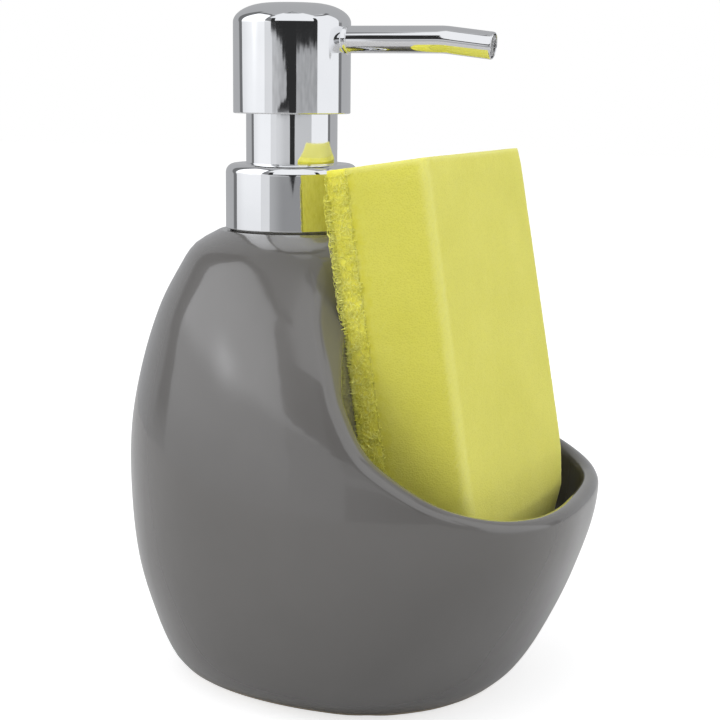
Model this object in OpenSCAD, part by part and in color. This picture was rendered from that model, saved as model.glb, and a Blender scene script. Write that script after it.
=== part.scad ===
// Soap pump caddy: a hollow glazed ceramic body with a lotion pump at the back
// and an open pocket at the front that holds a sponge.
// Millimetres. The pump axis is x = 0, y = 0, the pocket and the spout point to +X,
// +Z is up and the caddy stands on z = 0.

/* [Ceramic body] */
// Height of the ceramic body up to the land under the pump
body_h = 113; // [108:1:124]
// Farthest reach of the body behind the pump axis
back_reach = 41; // [39:0.5:47]
// Farthest reach of the body ahead of the pump axis
front_reach = 77.4; // [76:0.2:88]
// Full width of the body at its widest
body_w = 108; // [104:1:120]
// Thickness of the ceramic wall
wall = 5; // [4.2:0.1:5.5]
// Height of the lowest point of the pocket above the table
pocket_floor_z = 27; // [24:0.5:30]
// Height of the rounding between the pocket's walls and its floor
pocket_fillet = 15; // [12:0.5:16]
// Lean of the pocket's back wall and of the sponge, in degrees
rest_lean = 8.9; // [7:0.1:9.5]
// Width of the unglazed foot ring
foot_w = 4; // [3:0.25:6]
// Depth of the hollow inside the foot ring
foot_recess = 1.4; // [0.8:0.1:2]

/* [Pump outside] */
// Outer diameter of the pump collar
collar_d = 33; // [31:0.5:35]
// Height of the pump collar
collar_h = 16.1; // [15.6:0.1:19]
// Rounding of the collar's top edge
collar_edge = 2.3; // [1:0.1:3]
// Thickness of the bright collar, head and sleeve
shell_t = 0.95; // [0.7:0.05:1.1]
// Outer diameter of the sleeve between the collar and the head
sleeve_d = 22.8; // [20.8:0.2:24]
// Outer diameter of the pump head
head_d = 29.2; // [28:0.2:31]
// Height of the pump head
head_h = 27.1; // [26:0.1:30]
// Height of the domed top of the head
dome_h = 5; // [3.5:0.25:5.5]
// Travel of the pump head
stroke = 12; // [8:0.5:13]
// Outer diameter of the spout
spout_d = 6.6; // [6.2:0.1:7]
// Reach of the spout's tip from the pump axis
spout_reach = 51.5; // [46:0.5:58]
// Height of the spout's centre above the head's lower edge
spout_rise = 18.1; // [17.6:0.1:19]
// Drop of the spout's end below level, in degrees
spout_droop = 7; // [0:0.5:12]

/* [Pump inside] */
// Diameter of the neck hole in the ceramic
neck_hole_d = 24; // [22.5:0.1:24.4]
// Outer diameter of the glued neck insert's finish
finish_d = 24.6; // [24.4:0.1:26]
// Height of the finish above its flange
finish_h = 9; // [8.5:0.1:9.4]
// Outer diameter of the pump chamber
chamber_d = 16; // [15:0.1:16.4]
// Length of the pump chamber below its flange
chamber_h = 40; // [38:0.5:46]
// Diameter of the piston
piston_d = 14; // [12.6:0.1:14.4]
// Diameter of the piston stem
stem_d = 8; // [7.4:0.1:8.4]
// Bore of the piston stem
stem_bore_d = 4; // [3.2:0.1:4.6]
// Outer diameter of the dip tube
tube_d = 6; // [5.4:0.1:6.4]
// Bore of the dip tube
tube_bore_d = 4; // [3:0.1:4.4]
// Diameter of the check ball
ball_d = 4; // [3.4:0.1:4.4]
// Lift of the check ball off its seat
ball_lift = 1.5; // [1:0.1:1.8]
// Wire diameter of the return spring
wire_d = 1; // [0.8:0.05:1.2]

/* [Sponge] */
// Length of the sponge, from the pocket floor up
sponge_len = 103.4; // [92:0.2:105]
// Width of the sponge
sponge_w = 65; // [58:0.5:66]
// Thickness of the foam
foam_t = 20.8; // [16:0.2:23]
// Thickness of the scouring pad
pad_t = 4.8; // [3:0.2:6]
// Turn of the sponge about the upright, in degrees; its near edge rests on the wall
sponge_turn = 5.4; // [0:0.2:6]

/* [Hidden] */
$fn = 64;
// one overrun serves every cut
overrun = 0.6;
// radial clearance of a running or pushed-in fit
fit_gap = 0.05;
// gap between a soft piece and what it rests against
soft_gap = 0.35;
// gap between parts that pass each other loosely
loose_gap = 0.36;

// body outline: shares of the body's height, of its reaches and of its half width
level_shares = [0, 0.05, 0.13, 0.26, 0.41, 0.56, 0.70, 0.83, 0.92, 0.97, 1];
back_shares = [0.67, 0.75, 0.84, 0.95, 1, 1, 0.925, 0.805, 0.675, 0.58];
front_shares = [0.70, 0.78, 0.855, 0.94, 1, 0.985, 0.92, 0.74, 0.57, 0.45];
half_shares = [0.635, 0.78, 0.885, 0.97, 1, 0.97, 0.88, 0.735, 0.595, 0.485];
mid_shares = [0.29, 0.32, 0.36, 0.41, 0.46, 0.46, 0.33, 0.16, 0.065, 0.025, 0];
nose_power_shares = [2, 2, 2.1, 2.35, 2.5, 2.5, 2.25, 2.05, 2, 2, 2];
// rim of the pocket from the top corner to the tip
rim_x_shares = [0, 0, 0.011, 0.08, 0.136, 0.25, 0.395, 0.576, 0.757, 0.902];
rim_z_shares = [1, 0.938, 0.85, 0.76, 0.69, 0.605, 0.553, 0.505, 0.4735, 0.456];
tip_z_share = 0.452;
rim_cut_shares = [5, 3, 2, 2, 2, 2, 2, 2, 2];
tip_cuts_share = 5;
top_cuts_share = 8;
search_share = 18;
// heights of the outline's points, from the foot to the lip
wall_shares = [0, 0.03, 0.08, 0.15, 0.25, 0.37, 0.49, 0.61, 0.72, 0.82, 0.9, 0.95, 0.985, 1];
pocket_shares = [1, 0.75, 0.5, 0.25, 0];
round_shares = [0.3333, 0.6667, 1];
floor_shares = [0.2, 0.4, 0.6, 0.8];
floor_power_share = 2.5;
lip_share = 0.48;
// the land under the collar
land_margin = 1.6;
land_nose_share = 1.71;
scoop_gap = 5.7;
pocket_corner = 8;
pocket_root = 8;

collar_r = collar_d / 2;
land_r = collar_r + land_margin;
scoop_x = collar_r + scoop_gap;
pivot_x = scoop_x + (body_h - pocket_floor_z) * tan(rest_lean) + pocket_root;

// smooth curve through a table of places and values
function slopes(us, vs) =
    [for (i = [0:len(us) - 1])
        let (a = max(i - 1, 0), b = min(i + 1, len(us) - 1))
        (vs[b] - vs[a]) / (us[b] - us[a])];
function span_at(us, u) = max([0, for (i = [0:len(us) - 2]) if (us[i] <= u) i]);
function curve(us, vs, ms, u) =
    let (k = span_at(us, u), h = us[k + 1] - us[k], s = min(1, max(0, (u - us[k]) / h)))
    (2 * s * s * s - 3 * s * s + 1) * vs[k]
    + (s * s * s - 2 * s * s + s) * h * ms[k]
    + (3 * s * s - 2 * s * s * s) * vs[k + 1]
    + (s * s * s - s * s) * h * ms[k + 1];

backs = concat(back_reach * back_shares, [land_r]);
fronts = concat(front_reach * front_shares, [land_nose_share * land_r]);
halves = concat(body_w / 2 * half_shares, [land_r]);
mids = front_reach * mid_shares;
back_m = slopes(level_shares, backs);
front_m = slopes(level_shares, fronts);
half_m = slopes(level_shares, halves);
mid_m = slopes(level_shares, mids);
nose_m = slopes(level_shares, nose_power_shares);

// horizontal section of the body at one height: back, front, half width, widest place, power
function section(z) =
    let (u = min(1, max(0, z / body_h)))
    [curve(level_shares, backs, back_m, u), curve(level_shares, fronts, front_m, u),
        curve(level_shares, halves, half_m, u), curve(level_shares, mids, mid_m, u),
        curve(level_shares, nose_power_shares, nose_m, u)];
function half_y(x, s, inset) =
    x > s[3]
    ? (s[2] - inset) * pow(max(0, 1 - pow((x - s[3]) / (s[1] - s[3] - inset), s[4])), 1 / s[4])
    : (s[2] - inset) * sqrt(max(0, 1 - pow((x - s[3]) / (s[0] + s[3] - inset), 2)));
function swell(x, y, s) =
    x > s[3]
    ? pow((x - s[3]) / (s[1] - s[3]), s[4]) + pow(abs(y) / s[2], s[4])
    : pow((x - s[3]) / (s[0] + s[3]), 2) + pow(y / s[2], 2);
function crossing(a, s, lo, hi, n) =
    n == 0 ? (lo + hi) / 2
    : let (m = (lo + hi) / 2)
    swell(pivot_x + m * cos(a), m * sin(a), s) < 1
    ? crossing(a, s, m, hi, n - 1) : crossing(a, s, lo, m, n - 1);

// outside and pocket wall along a ray from the pocket's middle line; c is [angle, rim height, start]
function out_r(c, z) =
    crossing(c[0], section(z), z > body_h / 2 ? c[2] : 0, pivot_x + back_reach, search_share);
function wall_r(a, z) =
    cos(a) < 0
    ? (pivot_x - scoop_x - (body_h - z) * tan(rest_lean)) / -cos(a) : pivot_x + back_reach;
function soft_min(a, b, k) = let (h = max(k - abs(a - b), 0) / k) min(a, b) - h * h * k / 4;
function in_r(c, z) = soft_min(out_r(c, z) - wall, wall_r(c[0], z), pocket_corner);

// one slice of the body for each place on the rim, from the tip round to the back
rim_s = [for (i = [0:len(rim_x_shares) - 1]) i];
rim_x = [for (s = rim_x_shares) scoop_x + s * (front_reach - scoop_x)];
rim_z = body_h * rim_z_shares;
rim_x_m = slopes(rim_s, rim_x);
rim_z_m = slopes(rim_s, rim_z);
function rim_cut(s) =
    let (x = curve(rim_s, rim_x, rim_x_m, s), z = curve(rim_s, rim_z, rim_z_m, s),
        y = half_y(x, section(z), wall / 2))
    [atan2(y, x - pivot_x), z, norm([x - pivot_x, y])];
rim_cuts =
    [for (i = [len(rim_cut_shares) - 1:-1:0]) for (k = [rim_cut_shares[i] - 1:-1:0])
        rim_cut(i + k / rim_cut_shares[i])];
last_cut = rim_cut(len(rim_x) - 1);
top_cut = rim_cut(0);
tip_cuts =
    [for (k = [0:tip_cuts_share])
        let (u = k / tip_cuts_share)
        [u * last_cut[0], last_cut[1] + (tip_z_share * body_h - last_cut[1]) * (1 - u * u), 0]];
top_cuts =
    [for (k = [1:top_cuts_share])
        let (a = top_cut[0] + (180 - top_cut[0]) * k / top_cuts_share)
        [a, body_h, (pivot_x - scoop_x) / -cos(a)]];
cuts = concat(tip_cuts, rim_cuts, top_cuts);

// slice outline as [distance from the pivot line, height], from the base's middle to the floor's
function lip_round(c) =
    let (w = out_r(c, c[1]) - in_r(c, c[1]))
    min(wall / 2, lip_share * w, wall * wall / (2 * w));
function slice_points(c) =
    let (a = lip_round(c), zl = c[1] - a, foot = out_r(c, 0),
        fillet = min(pocket_fillet, in_r(c, pocket_floor_z + pocket_root)),
        zf = pocket_floor_z + fillet, rf = in_r(c, zf))
    concat(
        [[foot - foot_w - foot_recess, foot_recess], [foot - foot_w, 0]],
        [for (u = wall_shares) [out_r(c, u * zl), u * zl]],
        [for (u = round_shares)
            let (z = zl + a * sin(90 * u)) [out_r(c, z) - a * (1 - cos(90 * u)), z]],
        [for (i = [len(round_shares) - 1:-1:0])
            let (u = round_shares[i], z = zl + a * sin(90 * u))
            [in_r(c, z) + a * (1 - cos(90 * u)), z]],
        [for (u = pocket_shares) let (z = zf + u * (zl - zf)) [in_r(c, z), z]],
        [for (u = floor_shares)
            [rf * pow(cos(90 * u), 2 / floor_power_share),
                zf - fillet * pow(sin(90 * u), 2 / floor_power_share)]]);
slices = [for (c = cuts) slice_points(c)];
slice_n = len(slices[0]);
half_n = len(cuts);
turn_n = 2 * (half_n - 1);
body_points = concat(
    [for (i = [0:turn_n - 1])
        let (h = i < half_n ? i : turn_n - i, a = i < half_n ? cuts[h][0] : -cuts[h][0])
        for (p = slices[h]) [pivot_x + p[0] * cos(a), p[0] * sin(a), p[1]]],
    [[pivot_x, 0, foot_recess], [pivot_x, 0, pocket_floor_z]]);
function at(i, j) = (i % turn_n) * slice_n + j;
body_faces = concat(
    [for (i = [0:turn_n - 1]) [turn_n * slice_n, at(i, 0), at(i + 1, 0)]],
    [for (i = [0:turn_n - 1]) for (j = [0:slice_n - 2])
        for (t = [0, 1])
        t == 0 ? [at(i, j), at(i, j + 1), at(i + 1, j + 1)]
        : [at(i, j), at(i + 1, j + 1), at(i + 1, j)]],
    [for (i = [0:turn_n - 1])
        [at(i, slice_n - 1), turn_n * slice_n + 1, at(i + 1, slice_n - 1)]]);

// closed tube of rings that have equally many points
function ring_faces(rings, n) = concat(
    [[for (k = [0:n - 1]) k]],
    [for (i = [0:rings - 2]) for (k = [0:n - 1])
        for (t = [0, 1])
        t == 0 ? [i * n + k, (i + 1) * n + k, (i + 1) * n + (k + 1) % n]
        : [i * n + k, (i + 1) * n + (k + 1) % n, i * n + (k + 1) % n]],
    [[for (k = [n - 1:-1:0]) (rings - 1) * n + k]]);

// soap room behind and under the pocket
room_floor_z = foot_recess + wall;
roof_share = 1.2;
room_roof_z = body_h - roof_share * wall;
under_z = pocket_floor_z - wall;
room_half_cuts = 15;
room_cuts = 2 * room_half_cuts + 1;
room_side_share = 1.3;
room_low_shares = [0, 0.25, 0.6, 1];
room_high_shares = [0, 0.1, 0.25, 0.4, 0.55, 0.7, 0.82, 0.91, 1];
step_up = 1.5;
function room_ring(z, front) =
    let (s = section(z), inset = room_side_share * wall, back = s[0] - inset)
    [for (k = [0:room_cuts - 1])
        let (t = 180 * min(k, room_cuts - 1 - k) / room_half_cuts,
            x = front - (front + back) * (1 - cos(t)) / 2,
            y = k == room_half_cuts ? 0 : half_y(x, s, inset))
        [x, k <= room_half_cuts ? y : -y, z]];
room_low = [for (u = room_low_shares)
    let (z = room_floor_z + u * (under_z - room_floor_z))
    room_ring(z, section(z)[1] - 2 * wall)];
room_high = [for (u = room_high_shares)
    let (z = under_z + step_up + u * (room_roof_z - under_z - step_up))
    room_ring(z, scoop_x + (body_h - z) * tan(rest_lean) - wall)];
room_rings = concat(room_low, room_high);
room_points = [for (r = room_rings) for (p = r) p];

// neck insert, collar and chamber heights
insert_flange_t = 1.2;
// gap under the collar, seen as a dark line
collar_lift = 0.4;
insert_flange_w = 2.2;
plug_h = 12;
finish_r = finish_d / 2;
insert_z = body_h + insert_flange_t;
finish_top = insert_z + finish_h;
gasket_t = 1;
rim_gap = 0.2;
chamber_flange_t = 1.5;
chamber_r = chamber_d / 2;
piston_r = piston_d / 2;
stem_r = stem_d / 2;
stem_bore_r = stem_bore_d / 2;
bore_r = piston_r + fit_gap;
chamber_side_gap = 0.6;
chamber_base = finish_top + gasket_t;
chamber_top = chamber_base + chamber_flange_t;
seal_r = finish_r - rim_gap;
collar_z = body_h + collar_lift;
collar_top = collar_z + collar_h;
plate_z = collar_top - shell_t;
sleeve_flange_t = 1;
sleeve_flange_w = 2.1;
closure_top = plate_z - sleeve_flange_t;
closure_r = collar_r - shell_t - fit_gap;
closure_chamfer = 0.7;
guide_flange_t = 1.3;
guide_lap = 1.5;
guide_flange_r = bore_r + guide_lap;

// chamber floor, valve and dip tube
tube_r = tube_d / 2;
tube_bore_r = tube_bore_d / 2;
socket_wall = 1.55;
socket_h = 8;
socket_r = tube_r + fit_gap + socket_wall;
ball_r = ball_d / 2;
seat_share = 0.75;
seat_r = seat_share * ball_r;
ball_side_gap = 0.6;
nest_r = ball_r + ball_side_gap;
cage_t = 2;
cage_gap = 0.25;
cage_lap = 2.3;
cage_r = nest_r + cage_lap;
ledge_z = chamber_top - chamber_h;
cage_z = ledge_z - cage_t;
ball_z = cage_z - cage_gap - ball_lift - ball_r;
seat_z = ball_z - sqrt(ball_r * ball_r - seat_r * seat_r) - fit_gap;
web_t = 2;
socket_top = seat_z - web_t;
tube_gap = 1.6;
tube_z = room_floor_z + tube_gap;

// piston, spring and stem
guide_depth = 7.8;
guide_z = chamber_top - guide_depth;
piston_h = 8.5;
piston_ledge = 2;
piston_z = guide_z - loose_gap - piston_h;
wire_r = wire_d / 2;
spring_r = piston_r - wire_d;
spring_turns = 6;
flat_turns = 0.75;
spring_sides = 6;
spring_cuts = 14;

// head and spout
head_r = head_d / 2;
head_z = collar_top + stroke + loose_gap;
head_top = head_z + head_h;
spout_z = head_z + spout_rise;
spout_r = spout_d / 2;
spout_t = 0.45;
liner_gap = 0.2;
liner_t = 1.1;
liner_r = spout_r - spout_t - liner_gap;
arm_t = 1.2;
arm_r = liner_r + fit_gap + arm_t;
arm_reach = 9.5;
core_t = 2.4;
core_r = stem_r + core_t;
core_drop = 9.1;
crown_r = 5;
core_disc_t = 1.6;
post_margin = 0.6;
core_post_r = crown_r - post_margin;
disc_margin = 2.7;
disc_r = head_r - disc_margin;
corner_steps = 8;
edge_r = 1.2;
liner_floor = 0.9;
stem_top = spout_z - liner_r - liner_floor;
sleeve_r = sleeve_d / 2;
sleeve_top = spout_z - arm_r - stroke - shell_t / 2;
bend_r = 20;
tip_len = 11;
tip_taper = 0.15;
bend_steps = 4;
pipe_sides = 32;
boss_len = 0.9;
boss_w = 0.9;

// sponge: shares of its length, of its half width and of its thickness
sponge_z_shares = [0, 0.03, 0.08, 0.15, 0.24, 0.34, 0.96, 1];
sponge_w_shares = [0.6, 0.8, 0.93, 0.99, 1, 1, 1, 0.985];
sponge_t_shares = [0.52, 0.76, 0.91, 0.98, 1, 1, 1, 0.985];
sponge_corner_shares = [0.42, 0.38, 0.28, 0.17, 0.1, 0.07, 0.06, 0.06];
pad_toe_shares = [0.6, 0.2, 0.03, 0, 0, 0, 0, 0.06];
sponge_z = pocket_floor_z + soft_gap;
sponge_x = scoop_x + (body_h - sponge_z) * tan(rest_lean) + soft_gap / cos(rest_lean)
    + sponge_w / 2 * sin(sponge_turn);
sponge_y = -sponge_len / 2 * sin(rest_lean) * sin(sponge_turn);
corner_cuts_share = 4;

// spring wire as rings along a rising turn, closed flat at both ends
spring_z0 = ledge_z + wire_r + fit_gap;
spring_z1 = piston_z - wire_r - fit_gap;
spring_n = spring_turns * spring_cuts;
spring_points = [for (i = [0:spring_n])
    let (a = 360 * i / spring_cuts, u = i / spring_n,
        e = min(1, max(0, (u * spring_turns - flat_turns) / (spring_turns - 2 * flat_turns))),
        z = spring_z0 + (spring_z1 - spring_z0) * e)
    for (k = [0:spring_sides - 1])
    let (b = -360 * k / spring_sides)
    [(spring_r + wire_r * cos(b)) * cos(a), (spring_r + wire_r * cos(b)) * sin(a),
        z + wire_r * sin(b)]];

module ring(ro, ri, h) {
    difference() {
        cylinder(r = ro, h = h);
        translate([0, 0, -overrun]) cylinder(r = ri, h = h + 2 * overrun);
    }
}

module ceramic_body() {
    color([0.52, 0.51, 0.49])
    difference() {
        polyhedron(points = body_points, faces = body_faces, convexity = 8);
        polyhedron(points = room_points, faces = ring_faces(len(room_rings), room_cuts));
        translate([0, 0, room_roof_z - overrun])
            cylinder(d = neck_hole_d, h = body_h - room_roof_z + 2 * overrun);
    }
}

module neck_insert() {
    plug_r = neck_hole_d / 2 - fit_gap;
    through_r = chamber_r + chamber_side_gap;
    color([0.85, 0.85, 0.83])
    difference() {
        union() {
            translate([0, 0, body_h - plug_h]) cylinder(r = plug_r, h = plug_h + overrun);
            translate([0, 0, body_h]) cylinder(r = finish_r + insert_flange_w, h = insert_flange_t);
            translate([0, 0, body_h]) cylinder(r = finish_r, h = insert_flange_t + finish_h);
        }
        translate([0, 0, body_h - plug_h - overrun])
            cylinder(r = through_r, h = plug_h + insert_flange_t + finish_h + 2 * overrun);
    }
}

module neck_gasket() {
    color([0.9, 0.9, 0.88])
    translate([0, 0, finish_top]) ring(seal_r, chamber_r + chamber_side_gap, gasket_t);
}

module closure_ring() {
    color([0.8, 0.8, 0.8])
    difference() {
        union() {
            translate([0, 0, insert_z + rim_gap])
                cylinder(r = closure_r, h = closure_top - insert_z - rim_gap - closure_chamfer);
            translate([0, 0, closure_top - closure_chamfer])
                cylinder(r1 = closure_r, r2 = closure_r - closure_chamfer, h = closure_chamfer);
        }
        translate([0, 0, insert_z + rim_gap - overrun])
            cylinder(r = finish_r + 2 * fit_gap, h = chamber_top - insert_z - rim_gap + overrun);
        translate([0, 0, chamber_top - overrun])
            cylinder(r = guide_flange_r + rim_gap, h = closure_top - chamber_top + 2 * overrun);
    }
}

module collar_shell() {
    color([0.75, 0.75, 0.76])
    difference() {
        rotate_extrude()
            polygon(concat(
                [[0, collar_z], [collar_r, collar_z]],
                [for (k = [0:corner_steps])
                    let (a = 90 * k / corner_steps)
                    [collar_r - collar_edge * (1 - cos(a)), collar_top - collar_edge * (1 - sin(a))]],
                [[0, collar_top]]));
        rotate_extrude()
            polygon(concat(
                [[0, collar_z - overrun], [collar_r - shell_t, collar_z - overrun]],
                [for (k = [0:corner_steps])
                    let (a = 90 * k / corner_steps, e = max(fit_gap, collar_edge - shell_t))
                    [collar_r - shell_t - e * (1 - cos(a)), plate_z - e * (1 - sin(a))]],
                [[0, plate_z]]));
        translate([0, 0, plate_z - overrun])
            cylinder(r = sleeve_r + fit_gap, h = shell_t + 2 * overrun);
    }
}

module stem_sleeve() {
    color([0.75, 0.75, 0.76]) {
        translate([0, 0, closure_top])
            ring(sleeve_r, sleeve_r - shell_t, sleeve_top - closure_top);
        translate([0, 0, closure_top])
            ring(sleeve_r + sleeve_flange_w, sleeve_r - shell_t, sleeve_flange_t);
    }
}

module pump_housing() {
    color([0.88, 0.88, 0.86])
    rotate_extrude()
        polygon([
            [tube_r + fit_gap, socket_top - socket_h], [socket_r, socket_top - socket_h],
            [socket_r, seat_z], [chamber_r, cage_z - web_t / 2],
            [chamber_r, chamber_base], [seal_r, chamber_base],
            [seal_r, chamber_top], [bore_r, chamber_top],
            [bore_r, ledge_z], [cage_r + fit_gap, ledge_z],
            [cage_r + fit_gap, cage_z], [nest_r, cage_z],
            [nest_r, seat_z], [seat_r, seat_z],
            [seat_r, socket_top], [tube_r + fit_gap, socket_top]]);
}

module stem_guide() {
    color([0.8, 0.8, 0.78])
    difference() {
        union() {
            translate([0, 0, guide_z]) cylinder(r = piston_r, h = guide_depth + overrun);
            translate([0, 0, chamber_top]) cylinder(r = guide_flange_r, h = guide_flange_t);
        }
        translate([0, 0, guide_z - overrun])
            cylinder(r = stem_r + fit_gap, h = guide_depth + guide_flange_t + 2 * overrun);
    }
}

module ball_cage() {
    color([0.85, 0.85, 0.83])
    difference() {
        translate([0, 0, cage_z]) cylinder(r = cage_r, h = cage_t);
        for (a = [0:120:240])
            rotate([0, 0, a]) translate([nest_r, 0, cage_z - overrun])
                cylinder(r = seat_r / 2, h = cage_t + 2 * overrun);
    }
}

module check_ball() {
    color([0.7, 0.7, 0.72]) translate([0, 0, ball_z]) sphere(r = ball_r);
}

module dip_tube() {
    color([0.93, 0.93, 0.92])
    difference() {
        translate([0, 0, tube_z]) ring(tube_r, tube_bore_r, socket_top - tube_z);
        translate([tube_r, 0, tube_z - tube_r]) rotate([0, -45, 0])
            cube([2 * tube_d, 2 * tube_d, tube_r], center = true);
    }
}

module pump_spring() {
    color([0.7, 0.7, 0.72])
    polyhedron(points = spring_points, faces = ring_faces(spring_n + 1, spring_sides));
}

module piston() {
    color([0.9, 0.9, 0.88])
    translate([0, 0, piston_z])
    difference() {
        cylinder(r = piston_r, h = piston_h);
        translate([0, 0, piston_ledge]) cylinder(r = stem_r + fit_gap, h = piston_h);
        translate([0, 0, -overrun]) cylinder(r = stem_bore_r, h = piston_h);
    }
}

module piston_stem() {
    stem_z = piston_z + piston_ledge;
    color([0.9, 0.9, 0.88])
    translate([0, 0, stem_z]) ring(stem_r, stem_bore_r, stem_top - stem_z);
}

module actuator_core() {
    disc_z = head_top - dome_h;
    core_z = spout_z - core_drop - arm_r;
    color([0.8, 0.8, 0.78])
    difference() {
        union() {
            translate([0, 0, core_z]) cylinder(r = core_r, h = disc_z - core_z);
            translate([0, 0, disc_z]) cylinder(r = disc_r, h = core_disc_t);
            translate([0, 0, disc_z])
                cylinder(r = core_post_r, h = head_top - shell_t - disc_z);
            translate([0, 0, spout_z]) rotate([0, 90, 0]) cylinder(r = arm_r, h = arm_reach);
        }
        translate([0, 0, core_z - overrun])
            cylinder(r = stem_r + fit_gap, h = stem_top - core_z + overrun);
        translate([0, 0, core_z]) cylinder(r = stem_bore_r, h = spout_z - core_z);
        translate([stem_bore_r, 0, spout_z]) rotate([0, 90, 0])
            cylinder(r = liner_r + fit_gap, h = arm_reach);
    }
}

module dome(r, top, low, e) {
    rotate_extrude()
        polygon(concat(
            [[0, low], [r, low]],
            [for (k = [0:corner_steps])
                let (a = 90 * k / corner_steps)
                [crown_r + (r - crown_r) * cos(a), top - e * (1 - sin(a))]],
            [[0, top]]));
}

module head_shell() {
    color([0.75, 0.75, 0.76])
    difference() {
        union() {
            dome(head_r, head_top, head_z, dome_h);
            translate([head_r - boss_len, 0, spout_z]) rotate([0, 90, 0])
                cylinder(r1 = spout_r + boss_w, r2 = spout_r + boss_w / 2, h = 2 * boss_len);
        }
        dome(head_r - shell_t, head_top - shell_t, head_z - overrun, dome_h);
        translate([0, 0, spout_z]) rotate([0, 90, 0])
            cylinder(r = spout_r + fit_gap, h = head_r + 2 * boss_len);
    }
}

// tube along +X that bends down near its end, from x = x0 to a cut square to its run
function pipe_stations(x0, tip, taper) =
    let (bx = spout_reach - tip_len * cos(spout_droop) - bend_r * sin(spout_droop))
    concat([[x0, spout_z, 0, 0]],
        [for (k = [0:bend_steps])
            let (a = spout_droop * k / bend_steps)
            [bx + bend_r * sin(a), spout_z - bend_r * (1 - cos(a)), a, 0]],
        [[bx + bend_r * sin(spout_droop) + tip * cos(spout_droop),
            spout_z - bend_r * (1 - cos(spout_droop)) - tip * sin(spout_droop),
            spout_droop, taper]]);
function pipe_ring(p, r) =
    [for (k = [0:pipe_sides - 1])
        let (b = 360 * k / pipe_sides, v = (r - p[3]) * cos(b))
        [p[0] + v * sin(p[2]), (r - p[3]) * sin(b), p[1] + v * cos(p[2])]];
module pipe(ro, ri, x0, tip, taper) {
    st = pipe_stations(x0, tip, taper);
    m = len(st);
    n = pipe_sides;
    pts = concat([for (p = st) for (q = pipe_ring(p, ro)) q],
        [for (p = st) for (q = pipe_ring(p, ri)) q]);
    walls = [for (i = [0:m - 2]) for (k = [0:n - 1])
        let (a = i * n + k, b = i * n + (k + 1) % n, c = a + n, d = b + n, w = m * n)
        for (f = [[a, d, b], [a, c, d], [w + a, w + b, w + d], [w + a, w + d, w + c]]) f];
    ends = [for (k = [0:n - 1])
        let (a = k, b = (k + 1) % n, w = m * n, e = (m - 1) * n)
        for (f = [[a, b, w + b], [a, w + b, w + a],
                [e + a, e + w + b, e + b], [e + a, e + w + a, e + w + b]]) f];
    polyhedron(points = pts, faces = concat(walls, ends), convexity = 4);
}

module spout() {
    color([0.75, 0.75, 0.76])
        pipe(spout_r, spout_r - spout_t, arm_reach, tip_len, tip_taper);
}

module spout_liner() {
    color([0.85, 0.85, 0.85])
        pipe(liner_r, liner_r - liner_t, stem_bore_r, tip_len - liner_t, 0);
}

// one ring of the sponge: u is the place along its length, x0 and x1 the two faces
function sponge_ring(u, w, x0, x1, c0, c1) =
    let (z = u * sponge_len, cs = [[x1, w, c1, 0], [x0, w, c0, 90], [x0, -w, c0, 180],
        [x1, -w, c1, 270]])
    [for (c = cs) for (k = [0:corner_cuts_share])
        let (a = c[3] + 90 * k / corner_cuts_share,
            mx = c[0] - sign(cos(c[3] + 45)) * c[2], my = c[1] - sign(c[1]) * c[2])
        [mx + c[2] * cos(a), my + c[2] * sin(a), z]];
module sponge_layer(a0, a1) {
    n = 4 * (corner_cuts_share + 1);
    rings = [for (i = [0:len(sponge_z_shares) - 1])
        let (t = pad_t + foam_t, x0 = a0 > 0 ? a0 : pad_toe_shares[i] * pad_t,
            x1 = a1 < t ? a1 : pad_t + foam_t * sponge_t_shares[i],
            w = sponge_w / 2 * sponge_w_shares[i], c = sponge_corner_shares[i] * foam_t)
        sponge_ring(sponge_z_shares[i], w, x0, x1, edge_r, a1 < t ? edge_r : c)];
    translate([sponge_x, sponge_y, sponge_z]) rotate([0, -rest_lean, -sponge_turn])
        polyhedron(points = [for (r = rings) for (p = r) p],
            faces = ring_faces(len(rings), n), convexity = 2);
}

module foam_block() {
    color([0.93, 0.92, 0.25]) sponge_layer(pad_t, pad_t + foam_t);
}

module scouring_pad() {
    color([0.8, 0.78, 0.2]) sponge_layer(0, pad_t);
}

ceramic_body();
neck_insert();
neck_gasket();
closure_ring();
collar_shell();
stem_sleeve();
pump_housing();
stem_guide();
ball_cage();
check_ball();
dip_tube();
pump_spring();
piston();
piston_stem();
actuator_core();
head_shell();
spout();
spout_liner();
foam_block();
scouring_pad();
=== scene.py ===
# Soap pump caddy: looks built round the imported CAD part. Metres, in the CAD's frame.
import math
from contextlib import contextmanager

import bmesh
import bpy
import numpy as np
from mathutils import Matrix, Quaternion, Vector, noise


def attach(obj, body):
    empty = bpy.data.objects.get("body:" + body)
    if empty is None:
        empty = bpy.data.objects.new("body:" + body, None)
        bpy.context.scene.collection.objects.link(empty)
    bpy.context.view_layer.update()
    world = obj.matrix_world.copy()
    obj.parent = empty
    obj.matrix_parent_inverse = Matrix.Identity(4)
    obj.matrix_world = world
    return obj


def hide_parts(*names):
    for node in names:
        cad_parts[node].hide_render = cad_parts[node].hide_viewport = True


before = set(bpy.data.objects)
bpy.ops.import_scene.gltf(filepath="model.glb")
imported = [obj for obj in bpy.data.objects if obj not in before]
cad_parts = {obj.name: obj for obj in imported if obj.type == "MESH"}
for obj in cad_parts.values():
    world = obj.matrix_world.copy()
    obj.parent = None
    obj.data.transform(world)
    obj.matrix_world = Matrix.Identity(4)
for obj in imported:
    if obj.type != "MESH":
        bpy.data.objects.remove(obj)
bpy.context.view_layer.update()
MM = 0.001
TAU = 2 * math.pi
QUARTER = math.pi / 2
TINY = 1e-6

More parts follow.
